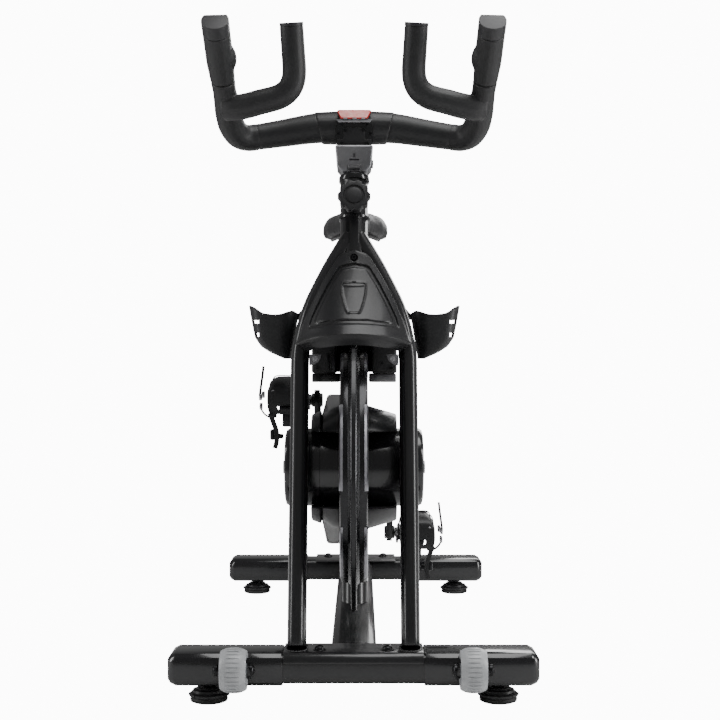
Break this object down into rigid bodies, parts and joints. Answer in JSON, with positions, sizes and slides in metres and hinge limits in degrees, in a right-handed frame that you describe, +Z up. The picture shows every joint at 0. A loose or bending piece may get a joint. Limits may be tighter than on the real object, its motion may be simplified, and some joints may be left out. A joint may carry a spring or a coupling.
{
  "type": "exercise bike",
  "caption": "Indoor-cycling exercise bike with a belt-driven flywheel, magnetic brake, multi-grip handlebar, bottle holders and an adjustable saddle.",
  "frame": {"origin": "on the floor, in the middle of the whole bike's length and width", "axes": "+Z up; the bike faces -Y, so +Y points to its back; +X is the rider's left"},
  "size_m": [0.55, 1.128, 1.0494],
  "materials": {
    "frame_paint": "satin black powder coat",
    "gloss_plastic": "gloss black moulded plastic",
    "satin_plastic": "satin black moulded plastic",
    "soft_grip": "soft-touch black grip",
    "flywheel_alloy": "dark turned alloy",
    "crank_alloy": "black coated alloy",
    "stem_alloy": "grey satin alloy",
    "bright_steel": "bright zinc-plated steel",
    "dark_steel": "dark coated steel",
    "foot_rubber": "matt black rubber",
    "belt_rubber": "ribbed belt rubber",
    "wheel_plastic": "pale grey translucent plastic",
    "saddle_vinyl": "black vinyl over foam"
  },
  "bodies": {
    "frame": {"front_stabilizer_tube": "frame_paint", "rear_stabilizer_tube": "frame_paint", "front_cover_left": "satin_plastic", "front_cover_right": "satin_plastic", "rear_cover_left": "satin_plastic", "rear_cover_right": "satin_plastic", "base_beam": "frame_paint", "front_mount_plate": "frame_paint", "fork_leg_left": "frame_paint", "fork_leg_right": "frame_paint", "head_post": "frame_paint", "head_post_sleeve": "gloss_plastic", "main_tube": "frame_paint", "seat_tube": "frame_paint", "seat_tube_sleeve": "gloss_plastic", "bottom_bracket_shell": "frame_paint", "base_strut": "frame_paint", "front_mask": "gloss_plastic", "hub_housing_left": "gloss_plastic", "hub_housing_right": "gloss_plastic", "belt_cover": "gloss_plastic", "drive_belt": "belt_rubber", "brake_housing": "satin_plastic", "bottle_holder_left": "satin_plastic", "bottle_holder_right": "satin_plastic"},
    "foot_front_left": {"levelling_foot_front_left": "foot_rubber"},
    "foot_front_right": {"levelling_foot_front_right": "foot_rubber"},
    "foot_rear_left": {"levelling_foot_rear_left": "foot_rubber"},
    "foot_rear_right": {"levelling_foot_rear_right": "foot_rubber"},
    "wheel_left": {"transport_wheel_left": "wheel_plastic"},
    "wheel_right": {"transport_wheel_right": "wheel_plastic"},
    "flywheel": {"flywheel": "flywheel_alloy", "flywheel_axle": "bright_steel"},
    "crank": {"crank_axle": "bright_steel", "crank_pulley": "satin_plastic", "crank_arm_left": "crank_alloy", "crank_arm_right": "crank_alloy"},
    "pedal_left": {"pedal_left": "satin_plastic", "toe_cage_left": "satin_plastic"},
    "pedal_right": {"pedal_right": "satin_plastic", "toe_cage_right": "satin_plastic"},
    "brake_rod": {"brake_rod": "bright_steel"},
    "resistance_knob": {"resistance_knob": "gloss_plastic"},
    "magnet_yoke": {"magnet_yoke": "dark_steel"},
    "handlebar": {"handlebar_slider": "frame_paint", "stem_housing": "stem_alloy", "bar_clamp": "satin_plastic", "main_bar": "soft_grip", "horn_left": "soft_grip", "horn_right": "soft_grip", "inner_loop_left": "soft_grip", "inner_loop_right": "soft_grip", "bar_front_plate": "dark_steel", "console": "gloss_plastic"},
    "handlebar_knob": {"handlebar_knob": "gloss_plastic"},
    "seat_post": {"seat_post": "frame_paint"},
    "seat_knob": {"seat_knob": "gloss_plastic"},
    "saddle": {"saddle_carriage": "dark_steel", "saddle": "saddle_vinyl"},
    "saddle_knob": {"saddle_knob": "gloss_plastic"}
  },
  "joints": [
    {"name": "handlebar_height", "type": "slide", "parent": "frame", "child": "handlebar", "axis": [0, 0.2588, 0.9659], "range_m": [0, 0.12]},
    {"name": "handlebar_knob_turn", "type": "hinge", "parent": "frame", "child": "handlebar_knob", "pos_m": [0, -0.29457, 0.75691], "axis": [0, -0.9659, 0.2588], "range_deg": [0, 180]},
    {"name": "seat_height", "type": "slide", "parent": "frame", "child": "seat_post", "axis": [0, 0.309, 0.9511], "range_m": [0, 0.15]},
    {"name": "seat_knob_turn", "type": "hinge", "parent": "frame", "child": "seat_knob", "pos_m": [0, 0.10682, 0.56488], "axis": [0, -0.9511, 0.309], "range_deg": [0, 180]},
    {"name": "saddle_fore_aft", "type": "slide", "parent": "seat_post", "child": "saddle", "axis": [0, 1, 0], "range_m": [-0.03, 0.03]},
    {"name": "saddle_knob_turn", "type": "hinge", "parent": "saddle", "child": "saddle_knob", "pos_m": [0, 0.219, 0.69], "axis": [0, 0, -1], "range_deg": [0, 180]},
    {"name": "flywheel_spin", "type": "hinge", "parent": "frame", "child": "flywheel", "pos_m": [0, -0.306, 0.338], "axis": [1, 0, 0], "continuous": true},
    {"name": "crank_spin", "type": "hinge", "parent": "frame", "child": "crank", "pos_m": [0, 0.024, 0.31], "axis": [1, 0, 0], "continuous": true},
    {"name": "pedal_left_spin", "type": "hinge", "parent": "crank", "child": "pedal_left", "pos_m": [0.1165, 0.13327, 0.17977], "axis": [1, 0, 0], "continuous": true},
    {"name": "pedal_right_spin", "type": "hinge", "parent": "crank", "child": "pedal_right", "pos_m": [-0.1165, -0.08527, 0.44023], "axis": [1, 0, 0], "continuous": true},
    {"name": "wheel_left_spin", "type": "hinge", "parent": "frame", "child": "wheel_left", "pos_m": [0.175, -0.531, 0.058], "axis": [1, 0, 0], "continuous": true},
    {"name": "wheel_right_spin", "type": "hinge", "parent": "frame", "child": "wheel_right", "pos_m": [-0.175, -0.531, 0.058], "axis": [1, 0, 0], "continuous": true},
    {"name": "foot_front_left_level", "type": "slide", "parent": "frame", "child": "foot_front_left", "axis": [0, 0, -1], "range_m": [0, 0.012]},
    {"name": "foot_front_right_level", "type": "slide", "parent": "frame", "child": "foot_front_right", "axis": [0, 0, -1], "range_m": [0, 0.012]},
    {"name": "foot_rear_left_level", "type": "slide", "parent": "frame", "child": "foot_rear_left", "axis": [0, 0, -1], "range_m": [0, 0.012]},
    {"name": "foot_rear_right_level", "type": "slide", "parent": "frame", "child": "foot_rear_right", "axis": [0, 0, -1], "range_m": [0, 0.012]},
    {"name": "brake_push", "type": "slide", "parent": "frame", "child": "brake_rod", "axis": [0, 0, -1], "range_m": [0, 0.006], "stiffness_N_per_m": 900, "springref_m": -0.008},
    {"name": "resistance_turn", "type": "hinge", "parent": "brake_rod", "child": "resistance_knob", "pos_m": [0, -0.206, 0.73], "axis": [0, 0, 1], "range_deg": [0, 720]},
    {"name": "magnet_yoke_tilt", "type": "hinge", "parent": "frame", "child": "magnet_yoke", "pos_m": [0, -0.16651, 0.50423], "axis": [-1, 0, 0], "range_deg": [0, 3]}
  ],
  "couplings": [
    {"joint": "crank_spin", "follows": "flywheel_spin", "ratio": 0.25},
    {"joint": "magnet_yoke_tilt", "follows": "resistance_turn", "ratio": 0.0041667}
  ]
}
